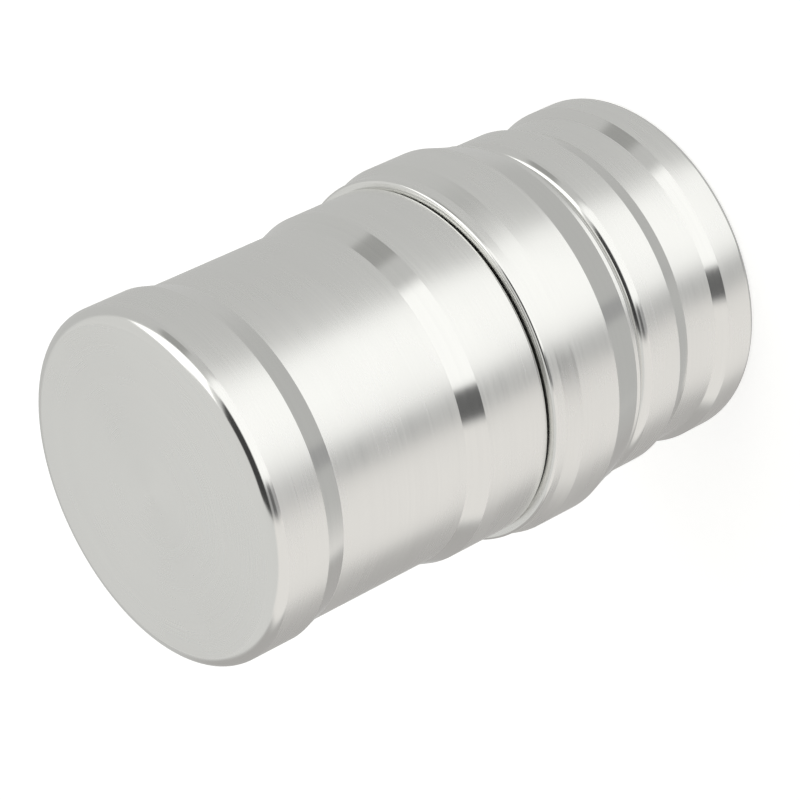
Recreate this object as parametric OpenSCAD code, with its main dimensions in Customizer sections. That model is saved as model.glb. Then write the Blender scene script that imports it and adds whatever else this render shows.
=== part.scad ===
// A blind cryptex: a puzzle cylinder of three turned metal pieces.
// It stands on its cap. The barrel, with a slotted core inside, lifts off a vial that turns in the cap.
// Two gates lock it: one in the code ring, one in the cap. Both are modelled in their open position.

/* [Overall size] */
// Height of the closed cryptex, standing on its cap
total_h = 72; // [70:0.1:90]
// Diameter of the code ring, the widest piece
ring_d = 45; // [44:0.5:60]
// Height of the cap
cap_h = 18.15; // [17.1:0.05:24]
// Height of the code ring
ring_h = 14.2; // [12.5:0.1:20]
// Gap left between the cap and the code ring
lower_gap = 0.35; // [0.25:0.05:0.6]
// Gap left between the code ring and the barrel
upper_gap = 0.2; // [0.15:0.05:0.4]

/* [Barrel outline] */
// Drop in radius from the code ring to the lands at both ends of the cryptex
land_drop = 1.6; // [1.2:0.1:2.4]
// Further drop in radius from an end land to the waist beside it
waist_drop = 0.75; // [0.4:0.05:1]
// Drop in radius from the code ring to the barrel's shoulder beside it
shoulder_drop = 1.5; // [1:0.1:2.4]
// Height of the land at the barrel's closed end
barrel_land_h = 7.3; // [5:0.1:10]
// Height of the barrel's two tapered steps
barrel_step_h = 2.7; // [1.5:0.1:4]
// Height of the barrel's shoulder, down to the joint
shoulder_h = 8.7; // [6:0.05:11]
// Rounding of the closed end's edge
end_round = 1.8; // [0.8:0.1:3]

/* [Ring and cap outline] */
// Drop in radius from the code ring's belt to its upper edge
upper_edge_drop = 0.6; // [0.3:0.1:1]
// Height of the land at the code ring's upper edge
upper_edge_h = 1.6; // [1:0.1:2.5]
// Height of the taper from that land to the belt
ring_rise_h = 2.1; // [1:0.1:3]
// Drop in radius from the belt to the code ring's lower edge
lower_edge_drop = 1.2; // [0.6:0.1:1.8]
// Height of the land at the code ring's lower edge
lower_edge_h = 1; // [0.8:0.1:2]
// Height of the taper from the belt to the lower land
ring_fall_h = 4; // [2:0.1:5]
// Height of the land at the cap's rim
cap_rim_h = 5.9; // [4:0.05:8]
// Height of the taper from the cap's rim to its waist
cap_step_h = 2; // [1:0.1:3]
// Height of the taper from the waist to the cap's foot
cap_rise_h = 1.5; // [1:0.1:2.5]
// Height of the land at the cap's foot
cap_foot_h = 4.2; // [2.5:0.1:5]
// Rounding of the edges at the upper joint
joint_round = 0.45; // [0.2:0.05:0.6]
// Rounding of the code ring's lower edge
ring_round = 0.6; // [0.3:0.05:0.8]
// Rounding of the cap's rim
rim_round = 1.5; // [0.4:0.1:1.8]
// Rounding of the edge that the cryptex stands on
foot_round = 0.75; // [0.4:0.05:1.2]

/* [Walls] */
// Wall of the barrel at its waist
barrel_wall = 1.85; // [1.4:0.05:2.2]
// Wall of the cap at its waist
cap_wall = 1.85; // [1.6:0.05:2.2]
// Wall of the code ring's shell at its belt
ring_wall = 4.3; // [4:0.1:4.6]
// Thickness of the barrel's closed end
end_wall = 5.5; // [5:0.1:8]
// Thickness of the cap's floor
cap_floor = 3; // [2:0.1:3.2]

/* [Vial and core] */
// Bore of the vial, which holds what is hidden
vial_bore_d = 18; // [12:0.5:18.5]
// Wall of the vial
vial_wall = 2; // [1.5:0.1:2.2]
// Wall of the slotted core
core_wall = 2.2; // [1.8:0.1:2.8]
// Thickness of the core's closed end
core_end_t = 3; // [2:0.1:4]
// Thickness of the vial's floor
vial_floor_t = 3; // [2.8:0.1:5]
// Height of the vial's foot
foot_h = 4.6; // [4.4:0.05:4.7]
// Depth to which the vial sits in its foot
foot_seat = 2.6; // [1.5:0.1:2.8]
// Depth of the stopper's plug
plug_h = 5; // [4:0.1:8]
// Thickness of the stopper's rim
stopper_rim_h = 2.5; // [1.5:0.1:4]
// Diameter of the stopper's knob
knob_d = 7; // [5:0.5:12]
// Height of the stopper's knob
knob_h = 2.5; // [2:0.1:4]
// Wire thickness of the stopper's O-ring
oring_d = 1.5; // [1:0.1:2]

/* [Gates and clicks] */
// Diameter of the tooth and of the guide pins
tooth_d = 3; // [2:0.1:3.5]
// How far the tooth stands out of the core
tooth_reach = 2.6; // [1.8:0.1:2.8]
// Diameter of the core's lug
lug_d = 2.4; // [1.8:0.1:2.6]
// How far the lug stands out of the core
lug_reach = 2.4; // [1.6:0.1:2.8]
// Thickness of the cap's gate ring
cap_gate_t = 3; // [2:0.1:3.1]
// Clicks in one turn
clicks = 12; // [12, 24]
// Diameter of the click balls
ball_d = 2.5; // [2:0.1:2.6]
// Diameter of the holes that the balls click into
click_hole_d = 2.2; // [1.6:0.1:2.3]
// Thickness of the click plates
plate_t = 0.8; // [0.75:0.05:1]
// Height of the hub that holds the ring's click springs
hub_h = 10; // [8:0.5:14]
// Diameter of the keys that stop the gate rings turning
key_d = 2; // [1.2:0.1:2.2]
// Thickness of the two retaining clips
clip_t = 1; // [0.8:0.05:1.1]

/* [Clearances] */
// Radial clearance of the vial in the core
slide_clear = 0.1; // [0.05:0.01:0.1]
// Radial clearance of what turns
turn_clear = 0.08; // [0.04:0.01:0.1]
// Clearance beside a tooth, lug, guide pin or ball
side_clear = 0.2; // [0.1:0.05:0.3]
// Play of a tooth or lug behind its gate, along the axis
gate_play = 0.3; // [0.2:0.05:0.5]
// Axial running gap beside a washer
run_gap = 0.05; // [0.03:0.01:0.1]

/* [Hidden] */
$fn = 96;

small_fn = 48;          // facets of pins, balls and holes in the quick view
eps = 0.01;             // overshoot of a cut past a free face
click_angles = [for (i = [0:clicks - 1]) i * 360 / clicks];
back_front = [90, 270];      // angles of the keys, balls and springs
thirds = [0, 120, 240];      // angles of the foot screws

// Radii of the outline
belt_r = ring_d / 2;
land_r = belt_r - land_drop;
waist_r = land_r - waist_drop;
shoulder_r = belt_r - shoulder_drop;
ring_upper_r = belt_r - upper_edge_drop;
ring_lower_r = belt_r - lower_edge_drop;

// Radii inside
vial_bore_r = vial_bore_d / 2;
vial_r = vial_bore_r + vial_wall;
core_bore_r = vial_r + slide_clear;
core_r = core_bore_r + core_wall;
barrel_bore_r = waist_r - barrel_wall;
cap_bore_r = waist_r - cap_wall;
ring_bore_r = belt_r - ring_wall;
gate_bore_r = core_r + turn_clear;
tooth_tip_r = core_r + tooth_reach;
lug_tip_r = core_r + lug_reach;
channel_r = tooth_tip_r + 2 * side_clear;
cap_gate_bore_r = core_r + gate_play;
cap_notch_r = lug_tip_r + 2 * side_clear;
foot_r = cap_bore_r - turn_clear;
pin_root_r = vial_bore_r + side_clear;      // the pins stop short of the vial's bore
guide_tip_r = core_r - side_clear;
clip_bite = 0.6;                            // depth of the foot clip's groove
core_clip_bite = 0.4;                       // depth of the core clip's groove
clip_band = 1.9;                            // radial width of the core clip
foot_clip_reach = 3.3;                      // how far the foot clip stands in from the cap's bore
foot_clip_in_r = cap_bore_r - foot_clip_reach;
clip_gap_w = tooth_d + 7 * side_clear;      // the tooth passes through the core clip's gap
lip_w = 1;                                  // lip under the ring's gate
spigot_clear = 0.3;                         // radial clearance of the two spigots that cover the joints
spigot_w = 1;                               // radial width of the hub's spigot
ring_spigot_lap = 0.3;                      // how far the ring's spigot reaches into the cap
hub_spigot_lap = 0.15;                      // how far the hub's spigot reaches into the ring

// Click balls and the springs behind them
ball_r = ball_d / 2;
pocket_r = ball_r + side_clear / 2;
ball_rise = sqrt(pow(ball_r, 2) - pow(click_hole_d / 2, 2)) + turn_clear;
pocket_land = 0.45;                         // between the ring's pockets and its bore
ring_click_r = ring_bore_r - pocket_r - pocket_land;
cap_click_inset = 3.8;
cap_click_r = cap_bore_r - cap_click_inset;
spring_wire = 0.44;
spring_r = ball_r - spring_wire;
plug_r = vial_bore_r - turn_clear;
stopper_inset = 0.4;
stopper_r = vial_r - stopper_inset;
knob_groove = 0.5;                          // finger groove under the knob's rim
knob_rim_h = 1;
screw_d = 4;                                // core screw
screw_head_d = 7;
screw_head_h = 2.8;
screw_bite = 4;
screw_key = 3.4;                            // hexagon across its corners
screw_key_h = 1.6;
foot_screw_d = 2.5;
foot_screw_head_d = 4.6;
foot_screw_key = 1.7;
foot_screw_key_h = 1;
foot_screw_inset = 3.3;
foot_screw_r = vial_bore_r - foot_screw_inset;
screw_tip_gap = 0.5;                        // left between the foot screws and the vial's bore
plate_bore_r = 4;
foot_bore_r = 2;
washer_inset = 0.6;                         // of the foot washer from the pockets

// Heights in the cap, counted from the face that it stands on
plate_top = cap_floor + plate_t;
foot_washer_t = 0.5;
foot_z = plate_top + foot_washer_t + 2 * run_gap;
foot_top = foot_z + foot_h;
foot_clip_z = foot_top + side_clear;
cap_recess = 0.7;                           // the gate ring sits below the cap's rim
cap_gate_top = cap_h - cap_recess;
cap_gate_z = cap_gate_top - cap_gate_t;
lug_z = cap_gate_z - gate_play - lug_d / 2;
core_edge = 0.4;                            // metal under the core's lug
core_z = lug_z - lug_d / 2 - core_edge;

// Heights in the code ring
ring_z = cap_h + lower_gap;
ring_top = ring_z + ring_h;
ring_recess = 0.4;
ring_gate_z = ring_z + ring_recess;
plate_recess = 0.5;
ring_plate_top = ring_top - plate_recess;
ring_gate_top = ring_plate_top - plate_t;
tooth_z = (ring_z + ring_top) / 2;
channel_h = tooth_d + 2 * gate_play;
core_clip_z = ring_gate_z - 2 * run_gap - clip_t;

// Heights in the barrel
barrel_z = ring_top + upper_gap;
barrel_roof = total_h - end_wall;
ring_washer_z = ring_plate_top + run_gap;
ring_washer_t = barrel_z - ring_washer_z - run_gap;
core_roof = barrel_roof - core_end_t;
screw_head_z = core_roof - screw_head_h;
stopper_travel = plug_h + 0.3;               // lifts the plug clear of the vial
roof_gap = 0.4;                             // over the lifted stopper
vial_top = screw_head_z - roof_gap - stopper_travel - knob_h - stopper_rim_h;
vial_z = foot_top - foot_seat;
vial_floor = vial_z + vial_floor_t;
guide_step = 10;                            // from the tooth to the lower guide pin
guide_inset = 3;                            // from the vial's rim to the upper guide pin
guide_z = [tooth_z + guide_step, vial_top - guide_inset];
slot_top = vial_top - guide_inset + tooth_d / 2 + side_clear;
slot_w = tooth_d + 2 * side_clear;
hub_top = barrel_z + hub_h;
pocket_roof = 2;                            // metal over the hub's pockets
foot_pocket_roof = 0.6;                     // metal over the foot's pockets
ring_pocket_top = hub_top - pocket_roof;
foot_pocket_top = foot_top - foot_pocket_roof;
foot_ball_z = plate_top + ball_rise;
ring_ball_z = ring_plate_top + ball_rise;

metal = [0.80, 0.80, 0.79];
inner_metal = [0.72, 0.73, 0.74];
steel = [0.62, 0.63, 0.65];
brass = [0.80, 0.65, 0.33];
bronze = [0.66, 0.46, 0.28];
black = [0.08, 0.08, 0.09];

// Ring of rectangular section standing on z
module tube(outer_r, inner_r, z, h) {
    translate([0, 0, z])
        rotate_extrude() translate([inner_r, 0]) square([outer_r - inner_r, h]);
}

// Corner piece to cut away, leaving a round of radius r; the corner is at the origin, the solid below left
module round_cut(r, up) {
    mirror([0, up ? 0 : 1])
        translate([-r, -r])
            difference() {
                square(r + eps);
                circle(r, $fn = 64);
            }
}

// Pin standing out along the radius at an angle
module radial_pin(d, from_r, to_r, z, angle) {
    rotate(angle)
        translate([from_r, 0, z])
            rotate([0, 90, 0])
                cylinder(d = d, h = to_r - from_r, $fn = small_fn);
}

// Slot of width w, cut outward from the axis side at an angle
module radial_slot(w, from_r, to_r, z, h, angle) {
    rotate(angle)
        translate([from_r, -w / 2, z])
            cube([to_r - from_r, w, h]);
}

// Upright cylinders on a circle
module on_circle(r, d, z, h, angles) {
    for (a = angles)
        rotate(a)
            translate([r, 0, z])
                cylinder(d = d, h = h, $fn = small_fn);
}

// Helical compression spring standing on z, as one closed sweep
module coil_spring(r, wire, z, h, turns) {
    sides = 6;
    per_turn = 12;
    rings = turns * per_turn;
    rise = h - wire;
    points = [
        for (i = [0:rings], j = [0:sides - 1])
            let (
                a = 360 * i / per_turn,
                b = 360 * j / sides,
                rr = r + wire / 2 * cos(b)
            )
            [rr * cos(a), rr * sin(a), wire / 2 + rise * i / rings + wire / 2 * sin(b)]
    ];
    walls = [
        for (i = [0:rings - 1], j = [0:sides - 1])
            let (k = (j + 1) % sides)
            [i * sides + j, (i + 1) * sides + j, (i + 1) * sides + k, i * sides + k]
    ];
    start_face = [[for (j = [0:sides - 1]) j]];
    end_face = [[for (j = [sides - 1:-1:0]) rings * sides + j]];
    translate([0, 0, z])
        polyhedron(points, concat(walls, start_face, end_face), convexity = 10);
}

module click_ball(r, z, angle) {
    rotate(angle) translate([r, 0, z]) sphere(d = ball_d, $fn = small_fn);
}

// ---- cap: the piece it stands on ----

module cap_outline() {
    waist_top = cap_h - cap_rim_h - cap_step_h;
    difference() {
        polygon([
            [0, 0],
            [land_r, 0],
            [land_r, cap_foot_h],
            [waist_r, cap_foot_h + cap_rise_h],
            [waist_r, waist_top],
            [land_r, waist_top + cap_step_h],
            [land_r, cap_h],
            [cap_bore_r, cap_h],
            [cap_bore_r, cap_floor],
            [0, cap_floor]
        ]);
        translate([land_r, 0]) round_cut(foot_round, up = false);
        translate([land_r, cap_h]) round_cut(rim_round, up = true);
    }
}

module cap_shell() {
    color(metal)
        difference() {
            rotate_extrude() cap_outline();
            tube(cap_bore_r + clip_bite, cap_bore_r - eps, foot_clip_z, clip_t);
            on_circle(cap_bore_r, key_d, cap_gate_z, cap_h, back_front);
        }
}

module cap_click_plate() {
    color(steel)
        difference() {
            tube(cap_bore_r, plate_bore_r, cap_floor, plate_t);
            on_circle(cap_click_r, click_hole_d, cap_floor - 1, plate_t + 2, click_angles);
        }
}

module cap_gate_ring() {
    color(brass)
        difference() {
            tube(cap_bore_r, cap_gate_bore_r, cap_gate_z, cap_gate_t);
            on_circle(cap_bore_r, key_d, cap_gate_z - 1, cap_gate_t + 2, back_front);
            radial_slot(
                lug_d + 2 * side_clear, core_r - 1, cap_notch_r, cap_gate_z - 1, cap_gate_t + 2, 180);
        }
}

module cap_gate_keys() {
    color(steel) on_circle(cap_bore_r, key_d, cap_gate_z, cap_gate_t, back_front);
}

module foot_clip() {
    ear_d = 3;
    ear_r = foot_clip_in_r;
    gap_w = 4;
    ear_angle = asin((gap_w + 0.8 * ear_d) / 2 / ear_r);
    color(steel)
        difference() {
            union() {
                tube(cap_bore_r + clip_bite, foot_clip_in_r, foot_clip_z, clip_t);
                on_circle(ear_r, ear_d, foot_clip_z, clip_t, [-ear_angle, ear_angle]);
            }
            radial_slot(gap_w, 0, belt_r, foot_clip_z - 1, clip_t + 2, 0);
            on_circle(ear_r, ear_d / 3, foot_clip_z - 1, clip_t + 2, [-ear_angle, ear_angle]);
        }
}

module foot_washer() {
    washer_r = cap_click_r - pocket_r - washer_inset;
    color(bronze) tube(washer_r, plate_bore_r, plate_top + run_gap, foot_washer_t);
}

// ---- vial: turns in the cap ----

module vial_tube() {
    color(inner_metal)
        difference() {
            rotate_extrude()
                polygon([
                    [0, vial_z],
                    [vial_r, vial_z],
                    [vial_r, vial_top],
                    [vial_bore_r, vial_top],
                    [vial_bore_r, vial_floor],
                    [0, vial_floor]
                ]);
            radial_pin(tooth_d, pin_root_r, vial_r + 1, tooth_z, 0);
            for (z = guide_z)
                radial_pin(tooth_d, pin_root_r, vial_r + 1, z, 0);
            on_circle(foot_screw_r, foot_screw_d, vial_z - 1, 1 + vial_floor_t - screw_tip_gap, thirds);
        }
}

module vial_foot() {
    color(inner_metal)
        difference() {
            tube(foot_r, foot_bore_r, foot_z, foot_h);
            translate([0, 0, vial_z]) cylinder(r = vial_r, h = foot_h);
            on_circle(cap_click_r, 2 * pocket_r, foot_z - 1, 1 + foot_pocket_top - foot_z, back_front);
            on_circle(foot_screw_r, foot_screw_d, foot_z - 1, foot_h + 2, thirds);
            for (a = thirds)
                rotate(a)
                    translate([foot_screw_r, 0, foot_z])
                        foot_screw_head();
        }
}

module foot_screw_head() {
    head_h = (foot_screw_head_d - foot_screw_d) / 2;
    cylinder(d1 = foot_screw_head_d, d2 = foot_screw_d, h = head_h, $fn = small_fn);
}

module foot_screws() {
    shank_top = vial_floor - screw_tip_gap - side_clear;
    color(steel)
        for (a = thirds)
            rotate(a)
                translate([foot_screw_r, 0, foot_z])
                    difference() {
                        union() {
                            foot_screw_head();
                            cylinder(d = foot_screw_d, h = shank_top - foot_z, $fn = small_fn);
                        }
                        translate([0, 0, -eps]) cylinder(d = foot_screw_key, h = foot_screw_key_h, $fn = 6);
                    }
}

module gate_tooth() {
    color(steel) radial_pin(tooth_d, pin_root_r, tooth_tip_r, tooth_z, 0);
}

module guide_pins() {
    color(steel)
        for (z = guide_z)
            radial_pin(tooth_d, pin_root_r, guide_tip_r, z, 0);
}

module foot_spring(angle) {
    z = foot_ball_z + ball_r;
    color(steel)
        rotate(angle)
            translate([cap_click_r, 0, 0])
                coil_spring(spring_r, spring_wire, z, foot_pocket_top - z, 3);
}

module foot_ball(angle) {
    color(steel) click_ball(cap_click_r, foot_ball_z, angle);
}

// ---- stopper: lifts out of the vial ----

module stopper() {
    groove_z = vial_top - plug_h / 2 - oring_d / 2;
    color(inner_metal)
        difference() {
            union() {
                translate([0, 0, vial_top - plug_h]) cylinder(r = plug_r, h = plug_h);
                translate([0, 0, vial_top]) cylinder(r = stopper_r, h = stopper_rim_h);
                translate([0, 0, vial_top]) cylinder(d = knob_d, h = stopper_rim_h + knob_h);
            }
            tube(plug_r + 1, plug_r - oring_d, groove_z, oring_d);
            tube(knob_d / 2 + 1, knob_d / 2 - knob_groove, vial_top + stopper_rim_h, knob_h - knob_rim_h);
        }
}

module stopper_o_ring() {
    color(black)
        translate([0, 0, vial_top - plug_h / 2])
            rotate_extrude()
                translate([plug_r - oring_d / 2, 0]) circle(d = oring_d, $fn = small_fn);
}

// ---- barrel: lifts off the vial ----

module barrel_outline() {
    step_low = barrel_z + shoulder_h;
    step_high = total_h - barrel_land_h;
    difference() {
        polygon([
            [0, total_h],
            [land_r, total_h],
            [land_r, step_high],
            [waist_r, step_high - barrel_step_h],
            [waist_r, step_low + barrel_step_h],
            [shoulder_r, step_low],
            [shoulder_r, barrel_z],
            [barrel_bore_r, barrel_z],
            [barrel_bore_r, barrel_roof],
            [0, barrel_roof]
        ]);
        translate([land_r, total_h]) round_cut(end_round, up = true);
        translate([shoulder_r, barrel_z]) round_cut(joint_round, up = false);
    }
}

module barrel_shell() {
    color(metal)
        difference() {
            rotate_extrude() barrel_outline();
            translate([0, 0, barrel_roof - 1]) cylinder(d = screw_d, h = 1 + screw_bite, $fn = small_fn);
        }
}

module core_sleeve() {
    color(inner_metal)
        difference() {
            rotate_extrude()
                polygon([
                    [0, barrel_roof],
                    [core_r, barrel_roof],
                    [core_r, core_z],
                    [core_bore_r, core_z],
                    [core_bore_r, core_roof],
                    [0, core_roof]
                ]);
            radial_slot(slot_w, core_bore_r - 2, core_r + 1, core_z - 1, 1 + slot_top - core_z, 0);
            tube(core_r + 1, core_r - core_clip_bite, core_clip_z, clip_t);
            radial_pin(lug_d, core_bore_r + side_clear, core_r + 1, lug_z, 180);
            translate([0, 0, core_roof - 1]) cylinder(d = screw_d, h = core_end_t + 2, $fn = small_fn);
        }
}

module core_screw() {
    color(steel)
        difference() {
            union() {
                translate([0, 0, screw_head_z])
                    cylinder(d = screw_head_d, h = screw_head_h, $fn = small_fn);
                translate([0, 0, core_roof])
                    cylinder(d = screw_d, h = core_end_t + screw_bite, $fn = small_fn);
            }
            translate([0, 0, screw_head_z - eps]) cylinder(d = screw_key, h = screw_key_h, $fn = 6);
        }
}

module core_lug() {
    color(steel) radial_pin(lug_d, core_bore_r + side_clear, lug_tip_r, lug_z, 180);
}

module barrel_hub() {
    spigot_r = ring_bore_r - spigot_clear;
    spigot_h = upper_gap + hub_spigot_lap;
    color(inner_metal)
        difference() {
            union() {
                tube(barrel_bore_r, core_r, barrel_z, hub_h);
                tube(spigot_r, spigot_r - spigot_w, barrel_z - spigot_h, spigot_h + 1);
            }
            on_circle(ring_click_r, 2 * pocket_r, barrel_z - 1, 1 + ring_pocket_top - barrel_z, back_front);
        }
}

module core_clip() {
    inner_r = core_r - core_clip_bite;
    outer_r = inner_r + clip_band;
    ear_w = 1.8;
    hole_angle = asin((clip_gap_w + ear_w) / 2 / outer_r);
    color(steel)
        difference() {
            union() {
                tube(outer_r, inner_r, core_clip_z, clip_t);
                intersection() {
                    tube(outer_r + 1, inner_r, core_clip_z, clip_t);
                    radial_slot(clip_gap_w + 2 * ear_w, 0, belt_r, core_clip_z, clip_t, 0);
                }
            }
            radial_slot(clip_gap_w, 0, belt_r, core_clip_z - 1, clip_t + 2, 0);
            on_circle(outer_r, 0.8, core_clip_z - 1, clip_t + 2, [-hole_angle, hole_angle]);
        }
}

module ring_washer() {
    color(bronze)
        tube(ring_click_r - pocket_r - side_clear, gate_bore_r, ring_washer_z, ring_washer_t);
}

module ring_spring(angle) {
    z = ring_ball_z + ball_r;
    color(steel)
        rotate(angle)
            translate([ring_click_r, 0, 0])
                coil_spring(spring_r, spring_wire, z, ring_pocket_top - z, 6);
}

module ring_ball(angle) {
    color(steel) click_ball(ring_click_r, ring_ball_z, angle);
}

// ---- code ring: turns on the core ----

module ring_outline() {
    spigot_z = cap_h - ring_spigot_lap;
    fall_low = ring_z + lower_edge_h;
    rise_top = ring_top - upper_edge_h;
    difference() {
        polygon([
            [ring_bore_r - lip_w, spigot_z],
            [cap_bore_r - spigot_clear, spigot_z],
            [cap_bore_r - spigot_clear, ring_z],
            [ring_lower_r, ring_z],
            [ring_lower_r, fall_low],
            [belt_r, fall_low + ring_fall_h],
            [belt_r, rise_top - ring_rise_h],
            [ring_upper_r, rise_top],
            [ring_upper_r, ring_top],
            [ring_bore_r, ring_top],
            [ring_bore_r, ring_gate_z],
            [ring_bore_r - lip_w, ring_gate_z]
        ]);
        translate([ring_lower_r, ring_z]) round_cut(ring_round, up = false);
        translate([ring_upper_r, ring_top]) round_cut(joint_round, up = true);
    }
}

module ring_shell() {
    color(metal)
        difference() {
            rotate_extrude() ring_outline();
            on_circle(ring_bore_r, key_d, tooth_z, ring_gate_top - tooth_z, back_front);
        }
}

module ring_gate() {
    channel_z = tooth_z - channel_h / 2;
    color(brass)
        difference() {
            tube(ring_bore_r, gate_bore_r, ring_gate_z, ring_gate_top - ring_gate_z);
            tube(channel_r, gate_bore_r - 1, channel_z, channel_h);
            radial_slot(
                slot_w, gate_bore_r - 1, channel_r, ring_gate_z - 1, 1 + channel_z - ring_gate_z + eps, 0);
            on_circle(ring_bore_r, key_d, tooth_z, ring_gate_top - tooth_z + 1, back_front);
        }
}

module ring_click_plate() {
    color(steel)
        difference() {
            tube(ring_bore_r, gate_bore_r, ring_gate_top, plate_t);
            on_circle(ring_click_r, click_hole_d, ring_gate_top - 1, plate_t + 2, click_angles);
        }
}

module ring_keys() {
    color(steel) on_circle(ring_bore_r, key_d, tooth_z, ring_gate_top - tooth_z, back_front);
}

cap_shell();
cap_click_plate();
cap_gate_ring();
cap_gate_keys();
foot_clip();
foot_washer();
vial_tube();
vial_foot();
foot_screws();
gate_tooth();
guide_pins();
foot_spring(270);  // foot_spring_front
foot_spring(90);  // foot_spring_back
foot_ball(270);  // foot_ball_front
foot_ball(90);  // foot_ball_back
stopper();
stopper_o_ring();
barrel_shell();
core_sleeve();
core_screw();
core_lug();
barrel_hub();
core_clip();
ring_washer();
ring_spring(270);  // ring_spring_front
ring_spring(90);  // ring_spring_back
ring_ball(270);  // ring_ball_front
ring_ball(90);  // ring_ball_back
ring_shell();
ring_gate();
ring_click_plate();
ring_keys();
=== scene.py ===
"""Looks of a blind cryptex: three turned metal shells round a slotted core and a vial, on the CAD frame."""
import math

import bmesh
import bpy
from mathutils import Matrix, Vector


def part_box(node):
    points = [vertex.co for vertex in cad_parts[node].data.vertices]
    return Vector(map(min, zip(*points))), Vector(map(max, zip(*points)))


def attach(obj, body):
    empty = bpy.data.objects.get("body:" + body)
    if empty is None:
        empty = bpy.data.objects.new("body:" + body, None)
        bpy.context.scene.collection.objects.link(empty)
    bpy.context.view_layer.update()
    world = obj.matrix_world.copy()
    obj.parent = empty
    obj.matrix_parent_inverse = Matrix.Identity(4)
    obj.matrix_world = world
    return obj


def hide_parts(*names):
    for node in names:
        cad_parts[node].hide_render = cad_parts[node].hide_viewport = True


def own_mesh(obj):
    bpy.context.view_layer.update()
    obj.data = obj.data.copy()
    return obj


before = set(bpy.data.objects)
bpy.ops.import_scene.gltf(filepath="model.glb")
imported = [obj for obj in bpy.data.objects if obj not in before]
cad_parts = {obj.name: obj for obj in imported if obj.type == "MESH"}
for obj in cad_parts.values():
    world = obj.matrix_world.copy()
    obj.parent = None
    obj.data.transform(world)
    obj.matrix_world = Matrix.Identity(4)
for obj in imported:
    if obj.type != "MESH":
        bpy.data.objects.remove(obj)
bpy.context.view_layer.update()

MM = 0.001
SEGMENTS = 256          # facets round a turned piece
ARC_STEPS = 6           # facets along a small round
MIN_ARC_STEPS = 3
MAX_ARC_STEPS = 16
HOLE_SEGMENTS = 48
PIN_SEGMENTS = 64
EDGE_BREAK = 0.15       # round of an edge that was only deburred, in mm
ON_AXIS = 1e-6          # a point closer to the axis than this, in mm, lies on it
MIN_RADIUS = 1e-6       # least radius that a shader divides by, in metres
LINE_DRIFT = 0.15       # how much a turning line changes on its way round

# ---- sizes in millimetres, from the frame ----


def radius_of(node):
    """Outer radius of a CAD node."""
    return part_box(node)[1].x / MM


def bottom_of(node):
    """Lowest height of a CAD node."""
    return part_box(node)[0].z / MM


def top_of(node):
    """Highest height of a CAD node."""
    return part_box(node)[1].z / MM


# Outline of the shells, as drops in radius, heights and rounds
WAIST_DROP = 0.75
UPPER_EDGE_DROP = 0.6
LOWER_EDGE_DROP = 1.2
BARREL_LAND_H = 7.3
BARREL_STEP_H = 2.7
SHOULDER_H = 8.7
UPPER_EDGE_H = 1.6
RING_RISE_H = 2.1
LOWER_EDGE_H = 1.0
RING_FALL_H = 4.0
CAP_RIM_H = 5.9
CAP_STEP_H = 2.0
CAP_RISE_H = 1.5
CAP_FOOT_H = 4.2
END_ROUND = 1.8
JOINT_ROUND = 0.45
RING_ROUND = 0.6
RIM_ROUND = 1.5
FOOT_ROUND = 0.75

# Sizes inside that the nodes' boxes don't give
SIDE_CLEAR = 0.2
LIP_W = 1.0
RING_RECESS = 0.4
SPIGOT_CLEAR = 0.3
CLIP_BITE = 0.4         # depth of the core clip's groove
GROOVE_CLEAR = 0.1      # of the foot clip's groove over its clip
CORE_SLOT_W = 3.4
CORE_WALL = 2.2
CORE_ROOF_T = 3.0
VIAL_WALL = 2.0
VIAL_FLOOR_T = 3.0
PLUG_H = 5.0
RIM_H = 2.5
KNOB_R = 3.5
KNOB_RIM_H = 1.0
KNOB_GROOVE = 0.5
PIN_R = 1.5
SCREW_R = 2.0
PIN_ROUND = 0.35
LUG_ROUND = 0.3

# Springs
WIRE_R = 0.2
WIRE_SIDES = 12
COIL_STEPS = 28         # rings of vertices in one turn
END_TURN = 0.75         # turns that lie flat at each end

# Knurling of the stopper's rim: how far each facet of a tooth is pressed in, as a share of the depth,
# and the width of the pressed band
KNURL_TEETH = 64
KNURL_PRESS = (1, 0.7, 0.15, 0, 0.15, 0.7)
KNURL_FACETS = len(KNURL_PRESS)
KNURL_DEPTH = 0.3
KNURL_BAND = 0.45
KNURL_MARGIN = 0.01

# A face is a polished step's if it lies this near the outside and isn't flat across the axis
SKIN_DEPTH = 1.2
FLAT_NORMAL = 0.995

BELT_R = radius_of("ring_shell")
LAND_R = radius_of("cap_shell")
SHOULDER_R = radius_of("barrel_shell")
WAIST_R = LAND_R - WAIST_DROP
RING_UPPER_R = BELT_R - UPPER_EDGE_DROP
RING_LOWER_R = BELT_R - LOWER_EDGE_DROP
CAP_BORE_R = radius_of("cap_gate_ring")
BARREL_BORE_R = radius_of("barrel_hub")
RING_BORE_R = radius_of("ring_gate")
CORE_R = radius_of("core_sleeve")
VIAL_R = radius_of("vial_tube")
VIAL_BORE_R = VIAL_R - VIAL_WALL
CLIP_GROOVE_R = radius_of("foot_clip") + GROOVE_CLEAR

CAP_H = top_of("cap_shell")
CAP_FLOOR = bottom_of("cap_click_plate")
BARREL_Z = bottom_of("barrel_shell")
TOTAL_H = top_of("barrel_shell")
BARREL_ROOF = top_of("core_sleeve")
RING_GATE_Z = bottom_of("ring_gate")
RING_Z = RING_GATE_Z - RING_RECESS
RING_TOP = top_of("ring_shell")
SPIGOT_Z = bottom_of("ring_shell")

# ---- mesh building ----


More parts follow.
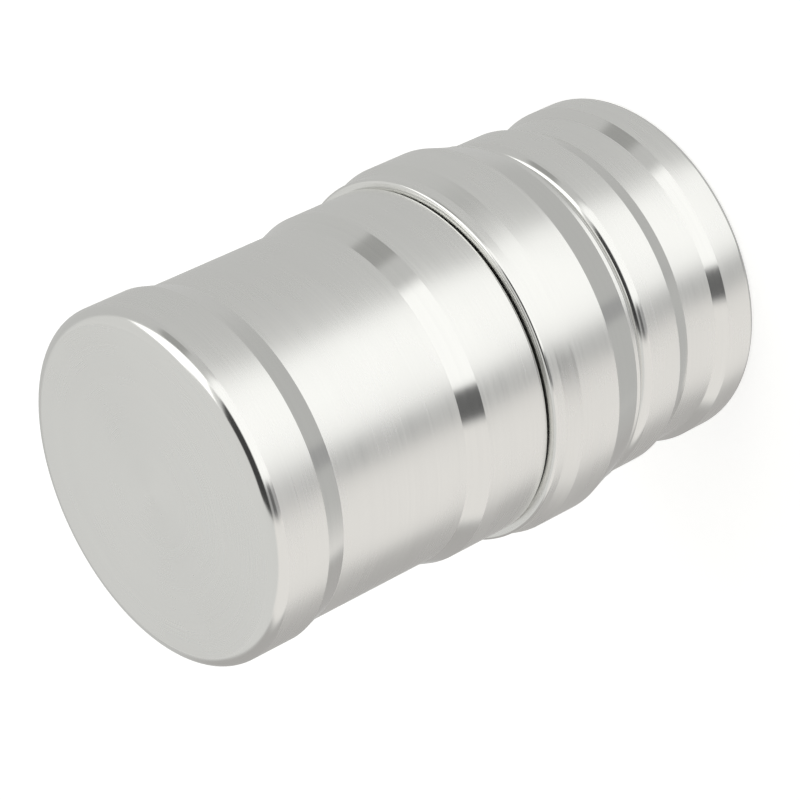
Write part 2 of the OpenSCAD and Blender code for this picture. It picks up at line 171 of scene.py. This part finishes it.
def rounded(corners):
    """Outline in mm from corners (r, z) or (r, z, round), with an arc at each corner that has a round."""
    points = []
    count = len(corners)
    for i, corner in enumerate(corners):
        here = Vector(corner[:2])
        size = corner[2] if len(corner) > 2 else 0
        if not size:
            points.append(here)
            continue
        back = (Vector(corners[i - 1][:2]) - here).normalized()
        ahead = (Vector(corners[(i + 1) % count][:2]) - here).normalized()
        half = back.angle(ahead) / 2
        reach = size / math.tan(half)
        centre = here + (back + ahead).normalized() * (size / math.sin(half))
        start = here + back * reach - centre
        end = here + ahead * reach - centre
        turn = start.angle_signed(end)
        steps = ARC_STEPS
        if size > EDGE_BREAK:
            steps = max(MIN_ARC_STEPS, int(ARC_STEPS * size / EDGE_BREAK) // 2)
        steps = min(steps, MAX_ARC_STEPS)
        for k in range(steps + 1):
            angle = turn * k / steps
            c, s = math.cos(angle), math.sin(angle)
            points.append(centre + Vector((start.x * c + start.y * s, start.y * c - start.x * s)))
    return points


def add_piece(name, bm):
    """New object from a bmesh, which it frees."""
    mesh = bpy.data.meshes.new(name)
    bm.to_mesh(mesh)
    bm.free()
    piece = bpy.data.objects.new(name, mesh)
    bpy.context.scene.collection.objects.link(piece)
    return piece


def turned(name, corners, segments=SEGMENTS):
    """Closed mesh turned round Z from a closed outline. Points on the axis become one vertex each."""
    outline = rounded(corners)
    bm = bmesh.new()
    rings = []
    for point in outline:
        if point.x < ON_AXIS:
            rings.append([bm.verts.new((0, 0, point.y * MM))])
            continue
        ring = []
        for k in range(segments):
            angle = 2 * math.pi * k / segments
            ring.append(bm.verts.new((
                point.x * MM * math.cos(angle), point.x * MM * math.sin(angle), point.y * MM)))
        rings.append(ring)
    for i, ring in enumerate(rings):
        other = rings[(i + 1) % len(rings)]
        if len(ring) == 1 and len(other) == 1:
            continue
        for k in range(segments):
            n = (k + 1) % segments
            if len(ring) == 1:
                bm.faces.new((ring[0], other[n], other[k]))
            elif len(other) == 1:
                bm.faces.new((ring[k], ring[n], other[0]))
            else:
                bm.faces.new((ring[k], ring[n], other[n], other[k]))
    bmesh.ops.recalc_face_normals(bm, faces=bm.faces)
    return add_piece(name, bm)


def smooth(piece, angle=28):
    """Smooth shading with edges sharper than the angle kept crisp."""
    mesh = piece.data
    mesh.polygons.foreach_set("use_smooth", [True] * len(mesh.polygons))
    mesh.set_sharp_from_angle(angle=math.radians(angle))
    mesh.update()


def cut(piece, *cutters):
    """Cuts the cutters out of a piece and removes them."""
    for cutter in cutters:
        change = piece.modifiers.new("cut", "BOOLEAN")
        change.operation = "DIFFERENCE"
        change.solver = "EXACT"
        change.object = cutter
        bpy.context.view_layer.update()
        result = piece.evaluated_get(bpy.context.evaluated_depsgraph_get())
        mesh = bpy.data.meshes.new_from_object(result)
        piece.modifiers.clear()
        piece.data = mesh
        bpy.data.objects.remove(cutter)


def drill(radius, x, y, z, height):
    """Upright cutter of a round hole, in mm."""
    bm = bmesh.new()
    place = Matrix.Translation(Vector((x, y, z + height / 2)) * MM)
    bmesh.ops.create_cone(
        bm, cap_ends=True, segments=HOLE_SEGMENTS, radius1=radius * MM, radius2=radius * MM,
        depth=height * MM, matrix=place)
    return add_piece("cutter", bm)


def block(low, high):
    """Box cutter from one corner to the other, in mm."""
    bm = bmesh.new()
    bmesh.ops.create_cube(bm, size=1)
    size = [(b - a) * MM for a, b in zip(low, high)]
    middle = [(a + b) / 2 * MM for a, b in zip(low, high)]
    bmesh.ops.transform(
        bm, matrix=Matrix.Translation(middle) @ Matrix.Diagonal((*size, 1)), verts=bm.verts)
    return add_piece("cutter", bm)


# ---- materials ----


class Nodes:
    """A node tree, with short calls to add nodes and link them."""

    def __init__(self, tree):
        self.tree = tree

    def add(self, kind, **settings):
        node = self.tree.nodes.new(kind)
        for key, value in settings.items():
            setattr(node, key, value)
        return node

    def link(self, source, target):
        self.tree.links.new(source, target)

    def math(self, operation, a, b=None):
        node = self.add("ShaderNodeMath", operation=operation)
        for socket, value in zip(node.inputs, (a, b)):
            if value is None:
                continue
            if isinstance(value, (int, float)):
                socket.default_value = value
            else:
                self.link(value, socket)
        return node.outputs[0]

    def ramp(self, source, low, high, to_low, to_high):
        node = self.add("ShaderNodeMapRange", clamp=True)
        self.link(source, node.inputs["Value"])
        for key, value in (("From Min", low), ("From Max", high), ("To Min", to_low), ("To Max", to_high)):
            node.inputs[key].default_value = value
        return node.outputs["Result"]

    def soft_step(self, source, at, softness):
        """0 below a value and 1 above it, with a soft change between."""
        node = self.add("ShaderNodeMapRange", interpolation_type="SMOOTHSTEP")
        self.link(source, node.inputs["Value"])
        node.inputs["From Min"].default_value = at - softness / 2
        node.inputs["From Max"].default_value = at + softness / 2
        return node.outputs["Result"]

    def noise(self, vector, scale, detail=2.0):
        node = self.add("ShaderNodeTexNoise")
        node.inputs["Scale"].default_value = scale
        node.inputs["Detail"].default_value = detail
        self.link(vector, node.inputs["Vector"])
        return node.outputs["Fac"]

    def mix(self, factor, a, b):
        node = self.add("ShaderNodeMix", data_type="RGBA")
        self.link(factor, node.inputs["Factor"])
        node.inputs["A"].default_value = (*a, 1)
        node.inputs["B"].default_value = (*b, 1)
        return node.outputs["Result"]


class MaterialNodes(Nodes):
    """A new material, its node tree and its shader."""

    def __init__(self, name):
        self.material = bpy.data.materials.new(name)
        self.material.use_nodes = True
        super().__init__(self.material.node_tree)
        self.shader = self.tree.nodes["Principled BSDF"]

    def bump(self, height, strength, distance):
        """Relief of the whole surface; the distance is in mm."""
        node = self.add("ShaderNodeBump")
        node.inputs["Strength"].default_value = strength
        node.inputs["Distance"].default_value = distance * MM
        self.link(height, node.inputs["Height"])
        self.link(node.outputs[0], self.shader.inputs["Normal"])


def turning_space(nodes, pitch):
    """Coordinates in which a noise becomes turning lines: slow round the axis, fast across it."""
    place = nodes.add("ShaderNodeTexCoord").outputs["Object"]
    split = nodes.add("ShaderNodeSeparateXYZ")
    nodes.link(place, split.inputs[0])
    x, y, z = split.outputs
    squares = nodes.math("ADD", nodes.math("MULTIPLY", x, x), nodes.math("MULTIPLY", y, y))
    radius = nodes.math("MAXIMUM", nodes.math("SQRT", squares), MIN_RADIUS)
    joined = nodes.add("ShaderNodeCombineXYZ")
    turn = nodes.math("DIVIDE", LINE_DRIFT, radius)
    nodes.link(nodes.math("MULTIPLY", x, turn), joined.inputs[0])
    nodes.link(nodes.math("MULTIPLY", y, turn), joined.inputs[1])
    along = nodes.math("DIVIDE", nodes.math("ADD", z, radius), pitch * MM)
    nodes.link(along, joined.inputs[2])
    return joined.outputs[0], place


def turned_metal(name, color, dark, roughness, pitch=0.35, anisotropy=0.6, depth=0.25, haze=0.05):
    """Lathe-turned metal: fine lines round the axis, handling haze and faint colour variation."""
    nodes = MaterialNodes(name)
    lines_space, place = turning_space(nodes, pitch)
    fine = nodes.noise(lines_space, 1.0, detail=1.0)
    broad = nodes.noise(lines_space, 0.13, detail=1.0)
    smudge = nodes.noise(place, 90.0, detail=3.0)
    mark = nodes.math("ADD", nodes.math("MULTIPLY", fine, 0.7), nodes.math("MULTIPLY", broad, 0.3))
    shader = nodes.shader.inputs
    nodes.link(nodes.mix(nodes.ramp(mark, 0.3, 0.7, 0.0, 1.0), dark, color), shader["Base Color"])
    lines = nodes.ramp(mark, 0.3, 0.7, -0.35 * haze, 0.35 * haze)
    handled = nodes.ramp(smudge, 0.42, 0.7, 0.0, haze)
    nodes.link(nodes.math("ADD", nodes.math("ADD", lines, handled), roughness), shader["Roughness"])
    shader["Metallic"].default_value = 1.0
    shader["Anisotropic"].default_value = anisotropy
    tangent = nodes.add("ShaderNodeTangent", direction_type="RADIAL", axis="Z")
    nodes.link(tangent.outputs[0], shader["Tangent"])
    nodes.bump(fine, depth, 0.004)
    return nodes.material


def plain_metal(name, color, dark, roughness, grain=900.0, depth=0.2, haze=0.08):
    """Ground, drawn or polished metal with a fine even grain."""
    nodes = MaterialNodes(name)
    place = nodes.add("ShaderNodeTexCoord").outputs["Object"]
    fine = nodes.noise(place, grain, detail=5.0)
    smudge = nodes.noise(place, 160.0, detail=2.0)
    shader = nodes.shader.inputs
    nodes.link(nodes.mix(nodes.ramp(smudge, 0.3, 0.7, 0.0, 1.0), dark, color), shader["Base Color"])
    varied = nodes.ramp(fine, 0.3, 0.7, -0.5 * haze, 0.5 * haze)
    nodes.link(nodes.math("ADD", varied, roughness), shader["Roughness"])
    shader["Metallic"].default_value = 1.0
    nodes.bump(fine, depth, 0.005)
    return nodes.material


def rubber(name):
    """Smooth nitrile rubber with a light film of grease."""
    nodes = MaterialNodes(name)
    place = nodes.add("ShaderNodeTexCoord").outputs["Object"]
    grain = nodes.noise(place, 1400.0, detail=3.0)
    film = nodes.noise(place, 220.0, detail=2.0)
    shader = nodes.shader.inputs
    nodes.link(nodes.mix(film, (0.012, 0.012, 0.013), (0.03, 0.03, 0.032)), shader["Base Color"])
    nodes.link(nodes.ramp(film, 0.35, 0.65, 0.3, 0.55), shader["Roughness"])
    nodes.bump(grain, 0.3, 0.01)
    return nodes.material


SATIN = turned_metal(
    "satin_aluminium", (0.885, 0.885, 0.866), (0.855, 0.855, 0.838), 0.25, pitch=0.3, depth=0.12)
POLISHED = turned_metal(
    "polished_step", (0.875, 0.875, 0.856), (0.845, 0.845, 0.828), 0.12,
    pitch=0.3, anisotropy=0.4, haze=0.02, depth=0.08)
INNER = turned_metal(
    "fine_turned_aluminium", (0.80, 0.81, 0.82), (0.72, 0.73, 0.745), 0.24, pitch=0.5, depth=0.4)
STEEL = plain_metal("ground_steel", (0.60, 0.61, 0.63), (0.50, 0.51, 0.53), 0.26)
CHROME = plain_metal("ball_chrome", (0.78, 0.79, 0.81), (0.74, 0.75, 0.77), 0.05, depth=0.03, haze=0.02)
WIRE = plain_metal("spring_wire", (0.52, 0.53, 0.55), (0.42, 0.43, 0.45), 0.22, grain=2200.0)
BRASS = turned_metal(
    "turned_brass", (0.83, 0.65, 0.31), (0.72, 0.54, 0.24), 0.24, pitch=0.5, depth=0.4)
BRONZE = turned_metal(
    "lapped_bronze", (0.62, 0.40, 0.22), (0.50, 0.31, 0.17), 0.32, pitch=0.4, anisotropy=0.3)
RUBBER = rubber("greased_rubber")


def dress(piece, material):
    """Gives every face of a piece one material."""
    piece.data.materials.clear()
    piece.data.materials.append(material)


# ---- the three outer shells ----


def polish_steps(piece, heights):
    """Second material on the outer faces between each pair of heights, in mm."""
    piece.data.materials.append(POLISHED)
    for face in piece.data.polygons:
        x, y, z = face.center / MM
        if math.hypot(x, y) < WAIST_R - SKIN_DEPTH or abs(face.normal.z) > FLAT_NORMAL:
            continue
        if any(low < z < high for low, high in heights):
            face.material_index = 1


def cut_keyways(piece, node, bore_r, top):
    """Half-round keyways for the two keys of a node."""
    lo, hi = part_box(node)
    radius = (hi.x - lo.x) / 2 / MM
    for side in (-1, 1):
        cut(piece, drill(radius, 0, side * bore_r, lo.z / MM, top - lo.z / MM))


def finish_piece(piece, body, slot, *nodes):
    """Says which body a piece rides on, and hides the CAD nodes that it stands for. The slot argument is not
    used.
    """
    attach(piece, body)
    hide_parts(*nodes)


def barrel():
    """Closed cup with a waist, and the screw's hole in its end."""
    step_low = BARREL_Z + SHOULDER_H
    waist_low = step_low + BARREL_STEP_H
    step_high = TOTAL_H - BARREL_LAND_H
    waist_high = step_high - BARREL_STEP_H
    piece = turned("barrel", [
        (0, TOTAL_H),
        (LAND_R, TOTAL_H, END_ROUND),
        (LAND_R, step_high, EDGE_BREAK),
        (WAIST_R, waist_high, EDGE_BREAK),
        (WAIST_R, waist_low, EDGE_BREAK),
        (SHOULDER_R, step_low, EDGE_BREAK),
        (SHOULDER_R, BARREL_Z, JOINT_ROUND),
        (BARREL_BORE_R, BARREL_Z, EDGE_BREAK),
        (BARREL_BORE_R, BARREL_ROOF, EDGE_BREAK),
        (0, BARREL_ROOF),
    ])
    dress(piece, SATIN)
    polish_steps(piece, [
        (waist_high, step_high),
        (step_low, waist_low),
        (TOTAL_H - END_ROUND, TOTAL_H),
        (BARREL_Z, BARREL_Z + JOINT_ROUND),
    ])
    cut(piece, drill(SCREW_R, 0, 0, BARREL_ROOF - 1, top_of("core_screw") - BARREL_ROOF + 1))
    smooth(piece)
    finish_piece(piece, "barrel", "satin_shell", "barrel_shell")


def ring():
    """The code ring's shell, with the spigot that closes the lower joint."""
    fall_low = RING_Z + LOWER_EDGE_H
    rise_top = RING_TOP - UPPER_EDGE_H
    piece = turned("code_ring", [
        (RING_BORE_R - LIP_W, SPIGOT_Z, EDGE_BREAK),
        (CAP_BORE_R - SPIGOT_CLEAR, SPIGOT_Z, EDGE_BREAK),
        (CAP_BORE_R - SPIGOT_CLEAR, RING_Z),
        (RING_LOWER_R, RING_Z, RING_ROUND),
        (RING_LOWER_R, fall_low, EDGE_BREAK),
        (BELT_R, fall_low + RING_FALL_H, EDGE_BREAK),
        (BELT_R, rise_top - RING_RISE_H, EDGE_BREAK),
        (RING_UPPER_R, rise_top, EDGE_BREAK),
        (RING_UPPER_R, RING_TOP, JOINT_ROUND),
        (RING_BORE_R, RING_TOP, EDGE_BREAK),
        (RING_BORE_R, RING_GATE_Z),
        (RING_BORE_R - LIP_W, RING_GATE_Z),
    ])
    dress(piece, SATIN)
    polish_steps(piece, [
        (fall_low, fall_low + RING_FALL_H),
        (RING_Z, RING_Z + RING_ROUND),
        (RING_TOP - JOINT_ROUND, RING_TOP),
    ])
    cut_keyways(piece, "ring_keys", RING_BORE_R, top_of("ring_keys"))
    smooth(piece)
    finish_piece(piece, "ring", "satin_shell", "ring_shell")


def cap():
    """Short cup with the foot clip's groove and two keyways."""
    waist_low = CAP_FOOT_H + CAP_RISE_H
    waist_high = CAP_H - CAP_RIM_H - CAP_STEP_H
    clip_z, clip_top = bottom_of("foot_clip"), top_of("foot_clip")
    piece = turned("cap", [
        (0, 0),
        (LAND_R, 0, FOOT_ROUND),
        (LAND_R, CAP_FOOT_H, EDGE_BREAK),
        (WAIST_R, waist_low, EDGE_BREAK),
        (WAIST_R, waist_high, EDGE_BREAK),
        (LAND_R, waist_high + CAP_STEP_H, EDGE_BREAK),
        (LAND_R, CAP_H, RIM_ROUND),
        (CAP_BORE_R, CAP_H, EDGE_BREAK),
        (CAP_BORE_R, clip_top),
        (CLIP_GROOVE_R, clip_top),
        (CLIP_GROOVE_R, clip_z),
        (CAP_BORE_R, clip_z),
        (CAP_BORE_R, CAP_FLOOR),
        (0, CAP_FLOOR),
    ])
    dress(piece, SATIN)
    polish_steps(piece, [
        (0, FOOT_ROUND),
        (CAP_FOOT_H, waist_low),
        (waist_high, waist_high + CAP_STEP_H),
        (CAP_H - RIM_ROUND, CAP_H),
    ])
    cut_keyways(piece, "cap_gate_keys", CAP_BORE_R, CAP_H + 1)
    smooth(piece)
    finish_piece(piece, "cap", "satin_shell", "cap_shell")


# ---- turned pieces inside ----


def vial():
    """Tube with a floor and three holes for the cross pins."""
    bottom, top = bottom_of("vial_tube"), top_of("vial_tube")
    piece = turned("vial", [
        (0, bottom),
        (VIAL_R, bottom, EDGE_BREAK),
        (VIAL_R, top, 0.3),
        (VIAL_BORE_R, top, 0.3),
        (VIAL_BORE_R, bottom + VIAL_FLOOR_T, 0.5),
        (0, bottom + VIAL_FLOOR_T),
    ])
    dress(piece, INNER)
    for node in ("gate_tooth", "guide_pins"):
        for height in pin_heights(node):
            cut(piece, cross_pin("cutter", PIN_R, VIAL_BORE_R + SIDE_CLEAR, VIAL_R + 1, height))
    smooth(piece)
    finish_piece(piece, "vial", "inner_aluminium", "vial_tube")


def stopper():
    """Knurled rim, finger knob with a groove under it, and a plug with the O-ring's groove."""
    bottom, top = bottom_of("stopper"), top_of("stopper")
    o_ring_lo, o_ring_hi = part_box("stopper_o_ring")
    wire = (o_ring_hi.z - o_ring_lo.z) / MM
    plug_r = o_ring_hi.x / MM
    groove_r = plug_r - wire
    rim_z = bottom + PLUG_H
    knob_z = rim_z + RIM_H
    rim_r = radius_of("stopper")
    piece = turned("stopper_plug", [
        (0, bottom),
        (plug_r, bottom, 0.4),
        (plug_r, o_ring_lo.z / MM),
        (groove_r, o_ring_lo.z / MM),
        (groove_r, o_ring_hi.z / MM),
        (plug_r, o_ring_hi.z / MM),
        (plug_r, rim_z),
        (rim_r, rim_z, 0.3),
        (rim_r, knob_z, 0.4),
        (KNOB_R - KNOB_GROOVE, knob_z, 0.3),
        (KNOB_R - KNOB_GROOVE, top - KNOB_RIM_H, 0.2),
        (KNOB_R, top - KNOB_RIM_H, 0.2),
        (KNOB_R, top, 0.4),
        (0, top),
    ], segments=KNURL_TEETH * KNURL_FACETS)
    knurl(piece, rim_r, rim_z, knob_z)
    dress(piece, INNER)
    smooth(piece, angle=40)
    finish_piece(piece, "stopper", "inner_aluminium", "stopper")


def knurl(piece, radius, low, high):
    """Straight knurling on a rim: presses a groove between its teeth, which fades out over its faces."""
    for vertex in piece.data.vertices:
        x, y, z = vertex.co / MM
        r = math.hypot(x, y)
        if r < radius - KNURL_BAND or not low - KNURL_MARGIN < z < high + KNURL_MARGIN:
            continue
        facet = round(math.atan2(y, x) / (2 * math.pi) * KNURL_TEETH * KNURL_FACETS) % KNURL_FACETS
        share = KNURL_PRESS[facet] * (r - radius + KNURL_BAND) / KNURL_BAND
        vertex.co.xy *= (r - KNURL_DEPTH * share) / r


def core():
    """Slotted sleeve with the clip's groove, the lug's hole and the screw's hole."""
    bottom, top = bottom_of("core_sleeve"), top_of("core_sleeve")
    clip_z, clip_top = bottom_of("core_clip"), top_of("core_clip")
    bore_r = CORE_R - CORE_WALL
    piece = turned("core", [
        (0, top),
        (CORE_R, top, EDGE_BREAK),
        (CORE_R, clip_top),
        (CORE_R - CLIP_BITE, clip_top),
        (CORE_R - CLIP_BITE, clip_z),
        (CORE_R, clip_z),
        (CORE_R, bottom, 0.3),
        (bore_r, bottom, 0.3),
        (bore_r, top - CORE_ROOF_T, 0.4),
        (0, top - CORE_ROOF_T),
    ])
    dress(piece, INNER)
    slot_top = max(pin_heights("guide_pins")) + PIN_R + SIDE_CLEAR - CORE_SLOT_W / 2
    slot = block((bore_r - 2, -CORE_SLOT_W / 2, bottom - 1), (CORE_R + 1, CORE_SLOT_W / 2, slot_top))
    slot_end = cross_pin("cutter", CORE_SLOT_W / 2, bore_r - 2, CORE_R + 1, slot_top)
    lug_z = (bottom_of("core_lug") + top_of("core_lug")) / 2
    lug_r = (top_of("core_lug") - bottom_of("core_lug")) / 2
    lug_hole = cross_pin("cutter", lug_r, bore_r + SIDE_CLEAR, CORE_R + 1, lug_z, angle=180)
    screw_hole = drill(SCREW_R, 0, 0, top - CORE_ROOF_T - 1, CORE_ROOF_T + 2)
    cut(piece, slot, slot_end, lug_hole, screw_hole)
    smooth(piece)
    finish_piece(piece, "barrel", "inner_aluminium", "core_sleeve")


# ---- pins and springs ----


def pin_heights(node):
    """Heights of the cross pins in a node: one for the tooth, the lowest and highest for the guide pins."""
    low, high = bottom_of(node) + PIN_R, top_of(node) - PIN_R
    return [low] if high - low < PIN_R else [low, high]


def cross_pin(name, radius, from_r, to_r, z, angle=0, end_round=0):
    """Pin along the radius, with rounded ends."""
    piece = turned(name, [
        (0, from_r),
        (radius, from_r, end_round),
        (radius, to_r, end_round),
        (0, to_r),
    ], segments=PIN_SEGMENTS)
    lay = Matrix.Rotation(math.radians(90), 4, "Y")
    stand = Matrix.Translation((0, 0, z * MM)) @ Matrix.Rotation(math.radians(angle), 4, "Z")
    piece.data.transform(stand @ lay)
    return piece


def pins():
    """The gate tooth, the two guide pins and the core's lug, ground with rounded tips."""
    for name, node in (("tooth", "gate_tooth"), ("guide_pin", "guide_pins")):
        lo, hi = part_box(node)
        joined = [
            cross_pin(name, PIN_R, lo.x / MM, hi.x / MM, height, end_round=PIN_ROUND)
            for height in pin_heights(node)]
        finish_pin(join(joined, name), "vial", node)
    lo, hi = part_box("core_lug")
    height = (lo.z + hi.z) / 2 / MM
    radius = (hi.z - lo.z) / 2 / MM
    lug = cross_pin("lug", radius, -hi.x / MM, -lo.x / MM, height, angle=180, end_round=LUG_ROUND)
    finish_pin(lug, "barrel", "core_lug")


def finish_pin(piece, body, node):
    dress(piece, STEEL)
    smooth(piece)
    finish_piece(piece, body, "steel", node)


def join(pieces, name):
    """Joins meshes into the first one."""
    bm = bmesh.new()
    for piece in pieces:
        bm.from_mesh(piece.data)
    for piece in pieces[1:]:
        bpy.data.objects.remove(piece)
    bm.to_mesh(pieces[0].data)
    bm.free()
    pieces[0].name = name
    return pieces[0]


def spring(name, node, body, turns):
    """Compression spring of round wire with closed ends."""
    lo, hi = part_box(node)
    centre = (lo + hi) / 2
    wire = WIRE_R * MM
    coil_r = (hi.x - lo.x) / 2 - wire
    count = turns * COIL_STEPS
    bm = bmesh.new()
    rings = []
    for i in range(count + 1):
        share = i / count
        climb = min(1, max(0, (share * turns - END_TURN) / (turns - 2 * END_TURN)))
        middle = Vector((centre.x, centre.y, lo.z + wire + (hi.z - lo.z - 2 * wire) * climb))
        turn = 2 * math.pi * turns * share
        out = Vector((math.cos(turn), math.sin(turn), 0))
        ring = []
        for k in range(WIRE_SIDES):
            a = 2 * math.pi * k / WIRE_SIDES
            up = Vector((0, 0, wire * math.sin(a)))
            ring.append(bm.verts.new(middle + out * (coil_r + wire * math.cos(a)) + up))
        rings.append(ring)
    for one, two in zip(rings, rings[1:]):
        for k in range(WIRE_SIDES):
            n = (k + 1) % WIRE_SIDES
            bm.faces.new((one[k], one[n], two[n], two[k]))
    bm.faces.new(rings[0])
    bm.faces.new(rings[-1])
    bmesh.ops.recalc_face_normals(bm, faces=bm.faces)
    piece = add_piece(name, bm)
    dress(piece, WIRE)
    smooth(piece, angle=60)
    finish_piece(piece, body, "spring_steel", node)
    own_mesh(piece)


def springs():
    """The springs behind the four click balls."""
    for side in ("front", "back"):
        spring(f"foot_coil_{side}", f"foot_spring_{side}", "vial", 4)
        spring(f"ring_coil_{side}", f"ring_spring_{side}", "barrel", 7)


# ---- the pieces inside, which keep their CAD meshes ----

NODE_MATERIALS = {
    INNER: ["vial_foot", "barrel_hub"],
    BRASS: ["cap_gate_ring", "ring_gate"],
    BRONZE: ["foot_washer", "ring_washer"],
    STEEL: [
        "cap_click_plate", "cap_gate_keys", "foot_clip", "foot_screws", "core_screw", "core_clip",
        "ring_click_plate", "ring_keys"],
    CHROME: ["foot_ball_front", "foot_ball_back", "ring_ball_front", "ring_ball_back"],
    RUBBER: ["stopper_o_ring"],
}


def inner_pieces():
    """Gives the kept CAD nodes their materials."""
    for material, names in NODE_MATERIALS.items():
        for name in names:
            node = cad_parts[name]
            dress(node, material)
            smooth(node)


# ---- studio ----


FLOOR_HALF = 4          # half the width of the floor, in metres


def floor():
    """Plain pale floor, which the metal doesn't mirror."""
    bm = bmesh.new()
    bmesh.ops.create_grid(bm, x_segments=1, y_segments=1, size=FLOOR_HALF)
    plane = add_piece("floor", bm)
    nodes = MaterialNodes("pale_floor")
    place = nodes.add("ShaderNodeTexCoord").outputs["Object"]
    shade = nodes.noise(place, 30.0)
    inputs = nodes.shader.inputs
    nodes.link(nodes.mix(shade, (0.86, 0.86, 0.855), (0.88, 0.88, 0.875)), inputs["Base Color"])
    inputs["Roughness"].default_value = 0.9
    inputs["Emission Color"].default_value = (1, 1, 1, 1)
    inputs["Emission Strength"].default_value = 0.5
    dress(plane, nodes.material)
    plane.visible_glossy = False
    plane.visible_shadow = False


# Soft panels and dark flags round the object: name, azimuth from and to, elevation from and to, softness of
# the edges, brightness. Angles are in degrees, and azimuth runs from the front towards -X.
PANELS = [
    ("lower_tent", -180, 180, -90, -52, 8, (0.50, 0.50, 0.49)),
    ("upper_tent", -180, 180, 22, 90, 8, (0.70, 0.70, 0.685)),
    ("key", -42, 24, -52, 30, 10, (1.12, 1.12, 1.10)),
    ("side_key", -112, -44, 25, 62, 6, (1.45, 1.45, 1.42)),
    ("fill", 42, 112, -52, 30, 12, (0.84, 0.82, 0.795)),
    ("far_side", 115, 165, -52, 20, 12, (0.44, 0.43, 0.42)),
    ("strip", 26, 44, -75, 25, 7, (0.36, 0.36, 0.36)),
    ("flag", 24, 42, -8, 12, 4, (0.12, 0.12, 0.12)),
    ("side_flag", -84, -62, -12, 22, 6, (0.36, 0.36, 0.35)),
    ("camera_shadow", -30, 46, 25, 62, 8, (0.05, 0.05, 0.05)),
]
TENT = (0.56, 0.56, 0.55)


def inside_panel(nodes, azimuth, elevation, bounds, softness):
    """1 inside a panel and 0 outside it."""
    az_from, az_to, el_from, el_to = bounds
    above = nodes.soft_step(elevation, el_from, softness)
    below = nodes.math("SUBTRACT", 1, nodes.soft_step(elevation, el_to, softness))
    inside = nodes.math("MULTIPLY", above, below)
    if az_to - az_from == 360:
        return inside
    past = nodes.soft_step(azimuth, az_from, softness)
    short = nodes.math("SUBTRACT", 1, nodes.soft_step(azimuth, az_to, softness))
    return nodes.math("MULTIPLY", inside, nodes.math("MULTIPLY", past, short))


def studio():
    """White light tent with the panels laid over it, as the world's light; the camera sees plain white."""
    world = bpy.data.worlds.new("studio")
    world.use_nodes = True
    bpy.context.scene.world = world
    nodes = Nodes(world.node_tree)
    split = nodes.add("ShaderNodeSeparateXYZ")
    nodes.link(nodes.add("ShaderNodeTexCoord").outputs["Generated"], split.inputs[0])
    x, y, z = split.outputs
    turn = nodes.math("ARCTAN2", nodes.math("MULTIPLY", x, -1), nodes.math("MULTIPLY", y, -1))
    azimuth = nodes.math("DEGREES", turn)
    elevation = nodes.math("DEGREES", nodes.math("ARCSINE", z))
    light = None
    for name, *bounds, softness, colour in PANELS:
        blend = nodes.add("ShaderNodeMix", data_type="RGBA", label=name)
        nodes.link(inside_panel(nodes, azimuth, elevation, bounds, softness), blend.inputs["Factor"])
        blend.inputs["A"].default_value = (*TENT, 1)
        if light is not None:
            nodes.link(light, blend.inputs["A"])
        blend.inputs["B"].default_value = (*colour, 1)
        light = blend.outputs["Result"]
    seen = nodes.add("ShaderNodeMix", data_type="RGBA")
    nodes.link(nodes.add("ShaderNodeLightPath").outputs["Is Camera Ray"], seen.inputs["Factor"])
    nodes.link(light, seen.inputs["A"])
    seen.inputs["B"].default_value = (1, 1, 1, 1)
    nodes.link(seen.outputs["Result"], world.node_tree.nodes["Background"].inputs["Color"])


CAMERA_ELEVATION = 34.19        # degrees above the front
CAMERA_ROLL = -115.9            # degrees
CAMERA_DISTANCE = 0.3943
CAMERA_AIM = Vector((-0.00275, 0, 0.0376))
CAMERA_LENS = 157.5             # mm, on a sensor 36 mm wide
NEAR_CLIP = 0.01


def camera():
    """Camera at the viewing angle: from above the front, rolled so that the closed end points lower left."""
    elevation = math.radians(CAMERA_ELEVATION)
    roll = math.radians(CAMERA_ROLL)
    back = Vector((0, -math.cos(elevation), math.sin(elevation)))
    level = Vector((1, 0, 0))
    above = back.cross(level)
    right = level * math.cos(roll) + above * math.sin(roll)
    up = above * math.cos(roll) - level * math.sin(roll)
    eye = bpy.data.objects.new("camera", bpy.data.cameras.new("camera"))
    bpy.context.scene.collection.objects.link(eye)
    eye.data.lens = CAMERA_LENS
    eye.data.sensor_width = 36
    eye.data.clip_start = NEAR_CLIP
    axes = Matrix((right, up, back)).transposed()
    eye.matrix_world = Matrix.Translation(CAMERA_AIM + back * CAMERA_DISTANCE) @ axes.to_4x4()
    bpy.context.scene.camera = eye
    bpy.context.scene.view_settings.view_transform = "Standard"


camera()
barrel()
ring()
cap()
vial()
stopper()
core()
pins()
springs()
inner_pieces()
floor()
studio()
